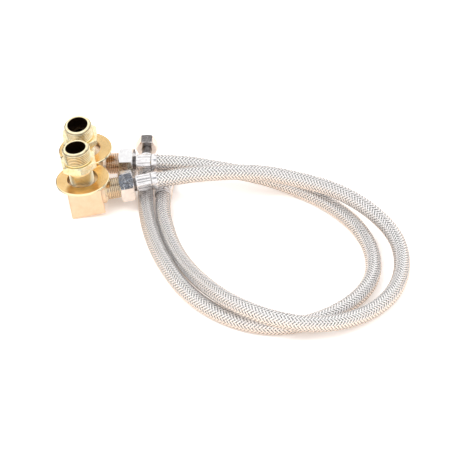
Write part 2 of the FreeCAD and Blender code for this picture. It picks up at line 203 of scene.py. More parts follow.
# Each hose is a smooth line through its route, a dark core, and two woven layers of wire ribbon.
routes = {
    "front": [
        (0.02843, -0.01287, 0.02459), (0.06578, -0.00828, 0.02988),
        (0.107, -0.0055, 0.033), (0.1465, 0.0, 0.0285), (0.1825, -0.006, 0.024),
        (0.216, -0.022, 0.0244), (0.2485, -0.048, 0.0205), (0.2725, -0.0805, 0.012),
        (0.2765, -0.123, 0.0078), (0.263, -0.165, 0.0076), (0.233, -0.1965, 0.0091),
        (0.1945, -0.216, 0.0166), (0.1555, -0.2165, 0.0242), (0.1205, -0.1965, 0.0252),
        (0.0936, -0.1597, 0.0176), (0.0711, -0.1128, 0.0083), (0.0577, -0.0727, 0.0077),
        (0.0507, -0.0285, 0.00935), (0.0542, 0.0061, 0.00935),
    ],
    "rear": [
        (0.02821, 0.02057, 0.0247), (0.06485, 0.01697, 0.02838), (0.103, 0.0125, 0.024),
        (0.1445, 0.015, 0.013), (0.1815, 0.0015, 0.0076), (0.2125, -0.024, 0.0076),
        (0.237, -0.059, 0.0076), (0.2495, -0.0995, 0.0076), (0.247, -0.141, 0.0076),
        (0.224, -0.177, 0.0076), (0.1875, -0.2025, 0.0076), (0.149, -0.2085, 0.0076),
        (0.11, -0.193, 0.0076), (0.0762, -0.1591, 0.0076), (0.0540, -0.1128, 0.0076),
        (0.0418, -0.0716, 0.0076), (0.0362, -0.033, 0.0076), (0.035, 0.0064, 0.00855),
        (0.035, 0.0465, 0.0091),
    ],
}
hoseSetup = {
    "diameter": 0.0152,
    "coreRadius": 0.0069,
    "coreRoundness": 5,
    "length": {"front": 0.7448, "rear": 0.7487},
    "smoothness": 24,
    "farReach": 0.0214,  # from the far fitting's origin to the route's last point
}
elbowPlaces = {line: elbowPlace(elbowSetup, *lie) for line, lie in elbowSetup["lies"].items()}
farPlaces = {line: farPlace(points[-1], points[-2], hoseSetup["farReach"])
             for line, points in routes.items()}


def makeLine(name, points, smoothness):
    data = bpy.data.curves.new(name, "CURVE")
    data.dimensions = "3D"
    data.resolution_u = smoothness
    spline = data.splines.new("NURBS")
    spline.points.add(len(points) - 1)
    for point, place in zip(spline.points, points):
        point.co = (*place, 1.0)
    spline.order_u = 3
    spline.use_endpoint_u = True
    spline.use_smooth = True
    line = bpy.data.objects.new(name, data)
    scene.collection.objects.link(line)
    return line


def bakedMesh(thing):
    bpy.context.view_layer.update()
    depsgraph = bpy.context.evaluated_depsgraph_get()
    return bpy.data.meshes.new_from_object(
        thing.evaluated_get(depsgraph), preserve_all_data_layers=True, depsgraph=depsgraph)


cores = {}
centreLines = {}
for line, points in routes.items():
    core = makeLine(f"{line}HoseCore", points, hoseSetup["smoothness"])
    centreLines[line] = bakedMesh(core)  # the bare line, before the core gets its thickness
    core.data.bevel_depth = hoseSetup["coreRadius"]
    core.data.bevel_resolution = hoseSetup["coreRoundness"]
    core.data.use_fill_caps = True
    cores[line] = core
print("hose lines made")


braidSetup = {  # by the names of the node tree's inputs
    "Ribbons": 12,  # in each layer
    "Lay Length": 0.039,
    "Sleeve Radius": 0.00722,
    "Ribbon Width": 0.00196,
    "Ribbon Thickness": 0.00034,
    "Weave Lift": 0.00021,
    "Steps Per Turn": 60,
    "Unevenness": 0.035,
    "Seed": 4,
}
weaveSetup = {
    "sides": 6,  # of a ribbon's outline
    "outlineHeight": 0.577,  # brings half a six-sided outline to half the ribbon's thickness
    "press": 1.5,  # flattens the wave, so that each ribbon lies flat over two and under two
    "mapShift": 37.0,  # between one ribbon's map and the next one's
}


def makeBraidTree(setup):
    # One layer of a woven sleeve: ribbons wound round the line, two over and two under.
    tree, given, result = newGroup("wovenSleeve", "GeometryNodeTree", [
        ("Geometry", "NodeSocketGeometry", None),
        ("Ribbons", "NodeSocketInt", 12),
        ("Lay Length", "NodeSocketFloat", 0.036),
        ("Direction", "NodeSocketFloat", 1.0),
        ("Sleeve Radius", "NodeSocketFloat", 0.0072),
        ("Ribbon Width", "NodeSocketFloat", 0.002),
        ("Ribbon Thickness", "NodeSocketFloat", 0.0003),
        ("Weave Lift", "NodeSocketFloat", 0.0002),
        ("Steps Per Turn", "NodeSocketInt", 60),
        ("Unevenness", "NodeSocketFloat", 0.03),
        ("Seed", "NodeSocketInt", 4),
        ("Finish", "NodeSocketMaterial", None),
    ], [("Geometry", "NodeSocketGeometry", None)])
    path = addNode(tree, "GeometryNodeMeshToCurve", {"Mesh": given["Geometry"]}).outputs["Curve"]
    span = addNode(tree, "GeometryNodeCurveLength", {"Curve": path}).outputs["Length"]
    steps = times(tree, calc(tree, "DIVIDE", span, given["Lay Length"]), given["Steps Per Turn"])
    ribbon = addNode(tree, "GeometryNodeMeshCylinder", {
        "Vertices": setup["sides"], "Side Segments": steps, "Fill Segments": 1,
        "Radius": 1.0, "Depth": 1.0}, fill_type="NGON").outputs["Mesh"]
    starts = addNode(tree, "GeometryNodeMeshLine", {
        "Count": given["Ribbons"], "Offset": (0.0, 0.0, 0.0)}).outputs["Mesh"]
    numbered = addNode(tree, "GeometryNodeStoreNamedAttribute", {
        "Geometry": starts, "Name": "ribbon",
        "Value": addNode(tree, "GeometryNodeInputIndex").outputs[0],
    }, data_type="FLOAT", domain="POINT").outputs["Geometry"]
    copies = addNode(tree, "GeometryNodeInstanceOnPoints", {"Points": numbered, "Instance": ribbon})
    copies = addNode(tree, "GeometryNodeRealizeInstances", {
        "Geometry": copies.outputs["Instances"]})
    number = addNode(tree, "GeometryNodeInputNamedAttribute", {"Name": "ribbon"},
                     data_type="FLOAT").outputs["Attribute"]
    local = addNode(tree, "ShaderNodeSeparateXYZ", {
        0: addNode(tree, "GeometryNodeInputPosition").outputs[0]}).outputs
    jitter = addNode(tree, "FunctionNodeRandomValue", {
        "Min": -1.0, "Max": 1.0, "ID": number, "Seed": given["Seed"]}, data_type="FLOAT")
    jitter = next(socket for socket in jitter.outputs if socket.enabled)

    # Along the line: the ribbon's width leans with it, so one side runs ahead of the other.
    rate = calc(tree, "DIVIDE", fullTurn, given["Lay Length"])
    lean = calc(tree, "ARCTANGENT", times(tree, rate, given["Sleeve Radius"]))
    runAlong = times(tree, plus(tree, local["Z"], 0.5), span)
    across = times(tree, local["X"], times(tree, given["Ribbon Width"], 0.5))
    slide = times(tree, times(tree, across, given["Direction"]), calc(tree, "SINE", lean))
    along = plus(tree, runAlong, slide)
    along = calc(tree, "MINIMUM", calc(tree, "MAXIMUM", along, 0.0), span)

    # Round the line.
    spacing = calc(tree, "DIVIDE", fullTurn, given["Ribbons"])
    base = times(tree, spacing, plus(tree, number, times(tree, jitter, given["Unevenness"])))
    wound = times(tree, times(tree, rate, runAlong), given["Direction"])
    aside = calc(tree, "DIVIDE", times(tree, across, calc(tree, "COSINE", lean)),
                 given["Sleeve Radius"])
    angle = calc(tree, "SUBTRACT", plus(tree, base, wound), aside)

    # Over and under: the wave turns once in four crossings.
    crossing = plus(tree, angle, times(tree, times(tree, rate, along), given["Direction"]))
    crossing = plus(tree, calc(tree, "DIVIDE", crossing, spacing), number)
    wave = calc(tree, "COSINE", times(tree, calc(tree, "SUBTRACT", crossing, 0.5), fullTurn / 4))
    wave = calc(tree, "MAXIMUM", times(tree, wave, setup["press"]), -1.0)
    wave = calc(tree, "MINIMUM", wave, 1.0)
    lift = times(tree, times(tree, wave, given["Weave Lift"]), given["Direction"])
    layer = times(tree, local["Y"], times(tree, given["Ribbon Thickness"], setup["outlineHeight"]))
    radius = plus(tree, plus(tree, given["Sleeve Radius"], lift), layer)

    sample = addNode(tree, "GeometryNodeSampleCurve", {"Curves": path, "Length": along},
                     mode="LENGTH", use_all_curves=False).outputs
    side = vectorCalc(tree, "CROSS_PRODUCT", sample["Tangent"], sample["Normal"])
    outward = vectorCalc(tree, "ADD", scaled(tree, sample["Normal"], calc(tree, "COSINE", angle)),
                         scaled(tree, side, calc(tree, "SINE", angle)))
    position = vectorCalc(tree, "ADD", sample["Position"], scaled(tree, outward, radius))

    # The wires' own map: across the ribbon from -1 to 1, and millimetres along it.
    strand = addNode(tree, "ShaderNodeCombineXYZ", {
        "X": local["X"],
        "Y": plus(tree, times(tree, runAlong, millimetres), times(tree, number, setup["mapShift"])),
    }).outputs[0]
    mapped = addNode(tree, "GeometryNodeStoreNamedAttribute", {
        "Geometry": copies.outputs["Geometry"], "Name": "strandMap", "Value": strand,
    }, data_type="FLOAT2", domain="CORNER").outputs["Geometry"]
    woven = addNode(tree, "GeometryNodeSetPosition", {"Geometry": mapped, "Position": position})
    smooth = addNode(tree, "GeometryNodeSetShadeSmooth", {"Geometry": woven.outputs["Geometry"]})
    whole = addNode(tree, "GeometryNodeRealizeInstances", {"Geometry": smooth.outputs["Geometry"]})
    finished = addNode(tree, "GeometryNodeSetMaterial", {
        "Geometry": whole.outputs["Geometry"], "Material": given["Finish"]})
    tree.links.new(finished.outputs["Geometry"], result["Geometry"])
    return tree


def growWith(tree, name, startMesh, values):
    # Runs a node tree on a mesh, and leaves its plain result as a new object.
    thing = bpy.data.objects.new(name, startMesh.copy())
    scene.collection.objects.link(thing)
    modifier = thing.modifiers.new("grow", "NODES")
    modifier.node_group = tree
    for item in tree.interface.items_tree:
        if item.item_type == "SOCKET" and item.in_out == "INPUT" and item.name in values:
            modifier[item.identifier] = values[item.name]
    made = bakedMesh(thing)
    thing.modifiers.clear()
    old = thing.data
    thing.data = made
    made.name = name
    bpy.data.meshes.remove(old)
    return thing


def makeMottle():
    # Uneven tone and polish, as on handled or tumbled metal.
    group, given, result = newGroup("unevenMetal", "ShaderNodeTree", [
        ("Vector", "NodeSocketVector", None),
        ("Patch Size", "NodeSocketFloat", 0.004),
        ("Bright", "NodeSocketColor", (0.8, 0.8, 0.8, 1)),
        ("Dull", "NodeSocketColor", (0.5, 0.5, 0.5, 1)),
        ("Smoothest", "NodeSocketFloat", 0.1),
        ("Roughest", "NodeSocketFloat", 0.3),
    ], [("Color", "NodeSocketColor", None), ("Roughness", "NodeSocketFloat", None),
        ("Height", "NodeSocketFloat", None)])
    scale = calc(group, "DIVIDE", 1.0, given["Patch Size"])
    broad = noise(group, given["Vector"], {"Scale": scale, "Detail": 3.0, "Roughness": 0.6})
    fine = noise(group, given["Vector"], {"Scale": times(group, scale, 9.0), "Detail": 2.0})
    patches = plus(group, times(group, broad, 0.75), times(group, fine, 0.25))
    spread = ramped(group, patches, 0.35, 0.65)
    group.links.new(mixColour(group, spread, given["Bright"], given["Dull"]), result["Color"])
    grains = plus(group, times(group, broad, 0.4), times(group, fine, 0.6))
    rough = ramped(group, grains, 0.3, 0.7, given["Smoothest"], given["Roughest"])
    group.links.new(rough, result["Roughness"])
    group.links.new(fine, result["Height"])
    return group


def makeAroundAxis():
    # Where a point lies about the z axis of its fitting, in millimetres.
    group, given, result = newGroup("aroundAxis", "ShaderNodeTree", [
        ("Vector", "NodeSocketVector", None),
    ], [("Radius", "NodeSocketFloat", None), ("Height", "NodeSocketFloat", None),
        ("Angle", "NodeSocketFloat", None)])
    parts = addNode(group, "ShaderNodeSeparateXYZ", {0: given["Vector"]}).outputs
    flat = addNode(group, "ShaderNodeCombineXYZ", {"X": parts["X"], "Y": parts["Y"]}).outputs[0]
    radius = times(group, vectorCalc(group, "LENGTH", flat), millimetres)
    group.links.new(radius, result["Radius"])
    group.links.new(times(group, parts["Z"], millimetres), result["Height"])
    group.links.new(calc(group, "ARCTAN2", parts["Y"], parts["X"]), result["Angle"])
    return group


def makeTurningMarks():
    # Fine rings that a lathe tool leaves, on round faces and on flat ends alike.
    group, given, result = newGroup("turningMarks", "ShaderNodeTree", [
        ("Radius", "NodeSocketFloat", None),
        ("Height", "NodeSocketFloat", None),
        ("Spacing", "NodeSocketFloat", 0.25),
    ], [("Height", "NodeSocketFloat", None)])
    walk = calc(group, "DIVIDE", plus(group, given["Radius"], given["Height"]), given["Spacing"])
    uneven = addNode(group, "ShaderNodeTexNoise", {"W": walk, "Scale": 0.9, "Detail": 2.0},
                     noise_dimensions="1D").outputs["Fac"]
    rings = calc(group, "SINE", times(group, walk, fullTurn))
    group.links.new(times(group, plus(group, rings, 1.0), uneven), result["Height"])
    return group


def makeBand():
    # One between two values, with soft edges, and nothing outside them.
    group, given, result = newGroup("softBand", "ShaderNodeTree", [
        ("Value", "NodeSocketFloat", None),
        ("From", "NodeSocketFloat", 0.0),
        ("To", "NodeSocketFloat", 1.0),
        ("Softness", "NodeSocketFloat", 0.1),
    ], [("Mask", "NodeSocketFloat", None)])
    rise = calc(group, "DIVIDE", calc(group, "SUBTRACT", given["Value"], given["From"]),
                given["Softness"], clamp=True)
    fall = calc(group, "DIVIDE", calc(group, "SUBTRACT", given["To"], given["Value"]),
                given["Softness"], clamp=True)
    group.links.new(times(group, rise, fall), result["Mask"])
    return group


def makeWireBundle():
    # The separate wires of one ribbon, lying side by side.
    group, given, result = newGroup("wireBundle", "ShaderNodeTree", [
        ("Across", "NodeSocketFloat", None),
        ("Along", "NodeSocketFloat", None),
        ("Wires", "NodeSocketFloat", 7.0),
    ], [("Height", "NodeSocketFloat", None), ("Shade", "NodeSocketFloat", None)])
    place = times(group, plus(group, times(group, given["Across"], 0.5), 0.5), given["Wires"])
    height = calc(group, "ABSOLUTE", calc(group, "SINE", times(group, place, math.pi)))
    wire = addNode(group, "ShaderNodeCombineXYZ", {
        "X": calc(group, "FLOOR", place), "Y": times(group, given["Along"], 0.22)}).outputs[0]
    group.links.new(height, result["Height"])
    group.links.new(noise(group, wire, {"Scale": 1.0, "Detail": 1.0}), result["Shade"])
    return group


mottle = makeMottle()
aroundAxis = makeAroundAxis()
turningMarks = makeTurningMarks()
softBand = makeBand()
wireBundle = makeWireBundle()


def useGroup(tree, group, inputs):
    return addNode(tree, "ShaderNodeGroup", inputs, node_tree=group).outputs


def patchy(tree, vector, metal):
    return useGroup(tree, mottle, {
        "Vector": vector, "Patch Size": metal["size"], "Bright": opaque(metal["bright"]),
        "Dull": opaque(metal["dull"]), "Smoothest": metal["smooth"], "Roughest": metal["rough"]})


def band(tree, value, limits):
    start, end, softness = limits
    return useGroup(tree, softBand, {
        "Value": value, "From": start, "To": end, "Softness": softness})["Mask"]


def newMaterial(name, metallic):
    material = bpy.data.materials.new(name)
    material.use_nodes = True
    tree = material.node_tree
    shader = tree.nodes["Principled BSDF"]
    shader.inputs["Metallic"].default_value = metallic
    return material, tree, shader


def finishWith(tree, shader, colour, rough, height, depth):
    tree.links.new(colour, shader.inputs["Base Color"])
    tree.links.new(rough, shader.inputs["Roughness"])
    bump = addNode(tree, "ShaderNodeBump", {"Height": height, "Distance": depth, "Strength": 1.0})
    tree.links.new(bump.outputs["Normal"], shader.inputs["Normal"])


def objectPoint(tree):
    return addNode(tree, "ShaderNodeTexCoord").outputs["Object"]


def fittingPoint(tree, place):
    # Object coordinates taken into a fitting's own frame, with its axis along z.
    return addNode(tree, "ShaderNodeMapping", {
        "Vector": objectPoint(tree), "Location": tuple(place.translation),
        "Rotation": tuple(place.to_euler())}, vector_type="TEXTURE").outputs["Vector"]


# Bands give where they start, where they end and their softness, in millimetres along a
# fitting's axis or out from it.
brassSetup = {
    "paintedRootShade": (0.07, 0.035, 0.012),  # painted shade in the roots of a thread
    # painted shade inside the bores
    "paintedBoreShade": (0.035, 0.018, 0.010),
    "boreRough": 0.6,
    "markSpacing": 0.3,
}
bodySetup = {
    "satin": {"size": 0.006, "bright": (0.91, 0.76, 0.59), "dull": (0.85, 0.68, 0.50),
              "smooth": 0.30, "rough": 0.42},
    "turned": {"size": 0.003, "bright": (1.0, 0.95, 0.74), "dull": (1.0, 0.84, 0.54),
               "smooth": 0.12, "rough": 0.26},
    "outlet": {"front": {"size": 0.002, "bright": (1.0, 0.97, 0.82), "dull": (1.0, 0.89, 0.68),
                         "smooth": 0.16, "rough": 0.30},
               # the rear outlet's darker, redder tones are painted shade, for the shade it lies in
               "rear": {"size": 0.002, "bright": (1.0, 0.92, 0.80), "dull": (0.98, 0.78, 0.62),
                        "smooth": 0.16, "rough": 0.30}},
    "shankHeights": (15.6, 80.0, 0.3),
    # the roots of the shank's and the outlet's threads get painted shade
    "shankRoots": (9.0, 11.25, 0.4),
    "shankRootShadeShare": 0.58,
    "shankBore": (-1.0, 7.8, 0.2),
    "outletHeights": (18.7, 80.0, 0.2),
    "outletRoots": (8.0, 10.2, 0.4),
    "outletRootShadeShare": 0.52,
    "outletPaintedRootShade": (0.25, 0.12, 0.06),
    "outletBore": (-1.0, 7.1, 0.2),
    "satinGrain": 0.5,
    "depth": 0.000012,
}
adapterSetup = {
    "metal": {"size": 0.004, "bright": (1.0, 0.95, 0.70), "dull": (0.96, 0.76, 0.42),
              "smooth": 0.12, "rough": 0.28},
    "threadHeights": (41.8, 55.0, 0.3),
    # the thread's roots get painted shade
    "threadRoots": (11.2, 12.95, 0.4),
    "threadRootShadeShare": 0.55,
    "bore": (-1.0, 9.9, 0.25),
    "depth": 0.000008,
}
flangeSetup = {
    "metal": {"size": 0.009, "bright": (0.90, 0.64, 0.31), "dull": (0.82, 0.54, 0.23),
              "smooth": 0.14, "rough": 0.22},
    "rim": (24.8, 40.0, 0.4),
    # a painted highlight, pale and bright, on the rim
    "rimPaintedHighlight": (1.0, 0.93, 0.66),
    "depth": 0.000008,
    "thickness": 0.003,
    "lies": {"front": {"lift": 0.00105, "off": (0.0005, -0.0014), "turn": (0.0, -6.0, 0.2)},
             "rear": {"lift": 0.00395, "off": (0.00265, -0.0008), "turn": (0.0, -4.5, 2.0)}},
}


def turnedRings(tree, axis):
    return useGroup(tree, turningMarks, {
        "Radius": axis["Radius"], "Height": axis["Height"],
        "Spacing": brassSetup["markSpacing"]})["Height"]


def brassBody(line):
    setup = bodySetup
    material, tree, shader = newMaterial(f"{line}BodyBrass", 1.0)
    local = fittingPoint(tree, elbowPlaces[line])
    sideways = fittingPoint(tree, alongX(elbowPlaces[line]))
    up = useGroup(tree, aroundAxis, {"Vector": local})
    out = useGroup(tree, aroundAxis, {"Vector": sideways})
    satin = patchy(tree, local, setup["satin"])
    turned = patchy(tree, local, setup["turned"])
    threaded = patchy(tree, sideways, setup["outlet"][line])
    onShank = band(tree, up["Height"], setup["shankHeights"])
    onOutlet = band(tree, out["Height"], setup["outletHeights"])
    # Painted shade darkens the roots of the shank's and the outlet's threads.
    rootShading = times(tree, band(tree, up["Radius"], setup["shankRoots"]), setup["shankRootShadeShare"])
    shankColour = mixColour(tree, rootShading, turned["Color"], brassSetup["paintedRootShade"])
    rootShading = times(tree, band(tree, out["Radius"], setup["outletRoots"]), setup["outletRootShadeShare"])
    outletColour = mixColour(tree, rootShading, threaded["Color"], setup["outletPaintedRootShade"])
    colour = mixColour(tree, onShank, satin["Color"], shankColour)
    colour = mixColour(tree, onOutlet, colour, outletColour)
    # Painted shade darkens the bores of the shank and the outlet.
    inside = calc(tree, "MAXIMUM",
                  times(tree, onShank, band(tree, up["Radius"], setup["shankBore"])),
                  times(tree, onOutlet, band(tree, out["Radius"], setup["outletBore"])))
    colour = mixColour(tree, inside, colour, brassSetup["paintedBoreShade"])
    rough = mixValue(tree, onShank, satin["Roughness"], turned["Roughness"])
    rough = mixValue(tree, onOutlet, rough, threaded["Roughness"])
    rough = mixValue(tree, inside, rough, brassSetup["boreRough"])
    grain = times(tree, satin["Height"], setup["satinGrain"])
    height = mixValue(tree, onShank, grain, turnedRings(tree, up))
    finishWith(tree, shader, colour, rough, height, setup["depth"])
    return material


def brassAdapter(line):
    setup = adapterSetup
    material, tree, shader = newMaterial(f"{line}AdapterBrass", 1.0)
    local = fittingPoint(tree, elbowPlaces[line])
    up = useGroup(tree, aroundAxis, {"Vector": local})
    metal = patchy(tree, local, setup["metal"])
    # Painted shade darkens the roots of the thread.
    roots = times(tree, band(tree, up["Radius"], setup["threadRoots"]),
                  band(tree, up["Height"], setup["threadHeights"]))
    colour = mixColour(tree, times(tree, roots, setup["threadRootShadeShare"]), metal["Color"],
                       brassSetup["paintedRootShade"])
    # Painted shade darkens the bore.
    inside = band(tree, up["Radius"], setup["bore"])
    colour = mixColour(tree, inside, colour, brassSetup["paintedBoreShade"])
    rough = mixValue(tree, inside, metal["Roughness"], brassSetup["boreRough"])
    finishWith(tree, shader, colour, rough, turnedRings(tree, up), setup["depth"])
    return material


def flangePlace(line):
    # The flange lies loose and tilted on the block, a little off the shank's axis.
    lie = flangeSetup["lies"][line]
    rise = elbowSetup["height"] / 2 + lie["lift"] + flangeSetup["thickness"] / 2
    place = turnBy(*lie["turn"], 4)
    place.translation = elbowPlaces[line] @ Vector((*lie["off"], rise))
    return place


def brassFlange(line):
    setup = flangeSetup
    material, tree, shader = newMaterial(f"{line}FlangeBrass", 1.0)
    local = fittingPoint(tree, flangePlace(line))
    up = useGroup(tree, aroundAxis, {"Vector": local})
    metal = patchy(tree, local, setup["metal"])
    # A painted highlight brightens the rim.
    rim = band(tree, up["Radius"], setup["rim"])
    colour = mixColour(tree, rim, metal["Color"], setup["rimPaintedHighlight"])
    finishWith(tree, shader, colour, metal["Roughness"], turnedRings(tree, up), setup["depth"])
    return material


platingSetup = {
    "near": {"size": 0.005, "bright": (0.86, 0.86, 0.86), "dull": (0.76, 0.75, 0.755),
             "smooth": 0.05, "rough": 0.11, "dents": 0.00032},
    "far": {"size": 0.005, "bright": (0.92, 0.90, 0.90), "dull": (0.80, 0.78, 0.775),
            "smooth": 0.07, "rough": 0.16, "dents": 0.00012},
    # the stems are painted nearly black: painted shade for the dark gap between nut and ferrule
    "stem": {"size": 0.005, "bright": (0.24, 0.22, 0.215), "dull": (0.09, 0.08, 0.078),
             "smooth": 0.10, "rough": 0.24, "dents": 0.0004},
}
dentNoise = {"Scale": 260.0, "Detail": 3.0, "Roughness": 0.6}


def nutPlating(end, name):
    setup = platingSetup[end]
    material, tree, shader = newMaterial(name, 1.0)
    vector = objectPoint(tree)
    metal = patchy(tree, vector, setup)
    dents = noise(tree, vector, dentNoise)
    finishWith(tree, shader, metal["Color"], metal["Roughness"], dents, setup["dents"])
    return material


steelSetup = {  # of the ferrules; bands are measured from the ferrule's near edge
    "metal": {"size": 0.003, "bright": (0.97, 0.95, 0.95), "dull": (0.88, 0.86, 0.86),
              "smooth": 0.14, "rough": 0.28},
    "drawnAround": 14.0,  # drawn lines are fine around the sleeve and long along it
    "drawnAlong": 0.12,
    "drawn": (0.45, 0.7, 0.0, 0.6),
    "drawnShade": (0.45, 0.43, 0.45),
    "drawnDepth": 0.00004,
    "pressedLines": 8,
    "pressedSharpness": 14.0,
    "pressed": (1.2, 14.6, 0.8),
    # painted shade in the pressed lines and in the groove before the bead
    "groove": (13.8, 15.4, 0.5),
    "grooveShadeShare": 0.6,
    "creaseShading": 0.95,
    "paintedCreaseShade": (0.05, 0.045, 0.045),
}


def ferruleSteel(name, place, start):
    setup = steelSetup
    material, tree, shader = newMaterial(name, 1.0)
    local = fittingPoint(tree, place)
    around = useGroup(tree, aroundAxis, {"Vector": local})
    metal = patchy(tree, local, setup["metal"])
    stretched = addNode(tree, "ShaderNodeCombineXYZ", {
        "X": times(tree, around["Angle"], setup["drawnAround"]),
        "Y": times(tree, around["Height"], setup["drawnAlong"])}).outputs[0]
    lines = noise(tree, stretched, {"Scale": 1.0, "Detail": 3.0})
    drawn = ramped(tree, lines, *setup["drawn"])
    colour = mixColour(tree, drawn, metal["Color"], setup["drawnShade"])

    # Painted shade darkens the lines that the crimping jaws press, and the groove before the bead.
    count = setup["pressedLines"]
    step = plus(tree, times(tree, around["Angle"], count / fullTurn), count + 0.5)
    fromLine = calc(tree, "ABSOLUTE", calc(tree, "SUBTRACT", calc(tree, "FRACT", step), 0.5))
    onLine = calc(tree, "SUBTRACT", 1.0, times(tree, fromLine, setup["pressedSharpness"]),
                  clamp=True)
    pressed, groove = (
        band(tree, around["Height"], (start + first, start + last, softness))
        for first, last, softness in (setup["pressed"], setup["groove"]))
    creaseShading = calc(tree, "MAXIMUM", times(tree, onLine, pressed),
                 times(tree, groove, setup["grooveShadeShare"]))
    colour = mixColour(tree, times(tree, creaseShading, setup["creaseShading"]), colour, setup["paintedCreaseShade"])
    finishWith(tree, shader, colour, metal["Roughness"], lines, setup["drawnDepth"])
    return material


rubberSetup = {
    "core": {"shade": (0.05, 0.045, 0.045), "rough": 0.5},
    "gasket": {"shade": (0.022, 0.022, 0.024), "rough": 0.45},
    "size": 0.002,
    "specular": 0.35,
    "paler": 1.5,
    "duller": 0.2,
    "depth": 0.00003,
}


def darkRubber(kind):
    setup = rubberSetup
    shade, rough = setup[kind]["shade"], setup[kind]["rough"]
    material, tree, shader = newMaterial(f"{kind}Rubber", 0.0)
    shader.inputs["Specular IOR Level"].default_value = setup["specular"]
    skin = patchy(tree, objectPoint(tree), {
        "size": setup["size"], "bright": tuple(value * setup["paler"] for value in shade),
        "dull": shade, "smooth": rough, "rough": rough + setup["duller"]})
    finishWith(tree, shader, skin["Color"], skin["Roughness"], skin["Height"], setup["depth"])
    return material


wireSetup = {
    "metal": {"size": 0.012, "bright": (1.0, 0.99, 0.98), "dull": (0.985, 0.96, 0.95),
              "smooth": 0.20, "rough": 0.30},
    "wires": 7.0,  # side by side in one ribbon
    "greyer": (0.40, 0.65, 0.0, 0.22),
    "greyShade": (0.76, 0.73, 0.72),
    "gapSharpness": 3.0,  # of the gaps between wires
    # painted shade in the gaps between wires
    "gap": 0.2,
    "gapPaintedShade": (0.45, 0.42, 0.42),
    # painted shade on each ribbon's outer wires
    "edge": (0.76, 1.0, 0.0, 0.68),
    "edgePaintedShade": (0.16, 0.14, 0.14),
    "depth": 0.00006,
}


def braidSteel(setup):
    material, tree, shader = newMaterial("braidSteel", 1.0)
    strand = addNode(tree, "ShaderNodeUVMap", uv_map="strandMap").outputs["UV"]
    parts = addNode(tree, "ShaderNodeSeparateXYZ", {0: strand}).outputs
    wires = useGroup(tree, wireBundle, {
        "Across": parts["X"], "Along": parts["Y"], "Wires": setup["wires"]})
    metal = patchy(tree, objectPoint(tree), setup["metal"])
    greyer = ramped(tree, wires["Shade"], *setup["greyer"])
    colour = mixColour(tree, greyer, metal["Color"], setup["greyShade"])
    # Painted shade darkens the gaps between the wires.
    gap = calc(tree, "POWER", calc(tree, "SUBTRACT", 1.0, wires["Height"]), setup["gapSharpness"])
    colour = mixColour(tree, times(tree, gap, setup["gap"]), colour, setup["gapPaintedShade"])
    # Painted shade darkens the outer wires of each ribbon, where it dips under the next.
    edge = ramped(tree, calc(tree, "ABSOLUTE", parts["X"]), *setup["edge"])
    colour = mixColour(tree, edge, colour, setup["edgePaintedShade"])
    finishWith(tree, shader, colour, metal["Roughness"], wires["Height"], setup["depth"])
    return material


finishes = {
    "braid": braidSteel(wireSetup), "core": darkRubber("core"), "gasket": darkRubber("gasket"),
    "stem": nutPlating("stem", "stemPaintedShade"), "nearNut": nutPlating("near", "nearNutPlating"),
    "farNut": nutPlating("far", "farNutPlating"),
}


def dress(node, material):
    nodes[node].data.materials[0] = material


for line in routes:
    dress(f"{line}_elbow", brassBody(line))
    dress(f"{line}_hex_adapter", brassAdapter(line))
    dress(f"{line}_wall_flange", brassFlange(line))
    dress(f"{line}_near_nut", finishes["nearNut"])
    dress(f"{line}_far_nut", finishes["farNut"])
    dress(f"{line}_liner", finishes["core"])
    dress(f"{line}_braid", finishes["braid"])
    for end in ("near", "far"):
        dress(f"{line}_{end}_stem", finishes["stem"])
        dress(f"{line}_{end}_gasket", finishes["gasket"])
print("finishes made")


braidTree = makeBraidTree(weaveSetup)
sleeves = {}
for line in routes:
    for layer, direction in (("Left", -1.0), ("Right", 1.0)):
        values = {**braidSetup, "Direction": direction, "Finish": finishes["braid"]}
        sleeve = growWith(braidTree, f"{line}Braid{layer}", centreLines[line], values)
        sleeves.setdefault(line, []).append(sleeve)
        count = sum(len(face.vertices) - 2 for face in sleeve.data.polygons)
        print(sleeve.name, "has", count, "triangles")


ferruleSetup = {
    "radius": 0.0083,
    "length": 0.0203,
    "edge": 0.0006,  # rounding of both rims
    "edgeShares": (0.0, 0.1, 0.3, 0.6, 1.0),
    "lip": 0.0014,  # wall before the hose's end
    "bore": 0.00765,
    "crimpLength": 0.0132,
    "crimpFrom": 0.7,  # of the lip
    "ramp": 0.0009,
    "flats": 8,
    "flatRadius": 0.00795,
    "ridge": 0.00012,  # metal raised between two jaws
    "ridgeFrom": 0.86,  # of the way from a flat's middle to its edge
    "dip": 1.2,  # of the ridge's height, beside the ridge
    "dipAt": 0.74,
    "dipWidth": 0.07,
    "bead": 0.00022,  # the round end stands this much prouder
    "beadReach": 1.08,
    "rampStations": ((0.0011, 0.0014, 0.0018, 0.0024), (0.0136, 0.0139, 0.0142, 0.0146)),
    "flatSteps": 6,
    "beadSteps": 8,
    "around": 128,
    "sharpFrom": 38,  # degrees
    "start": {"near": 0.0494, "far": 0.0200},
    "neckRadius": {"near": 0.00655, "far": 0.00475},
}


def clamped(value):
    return min(1.0, max(0.0, value))


def smooth(value):
    value = clamped(value)
    return value * value * (3 - 2 * value)


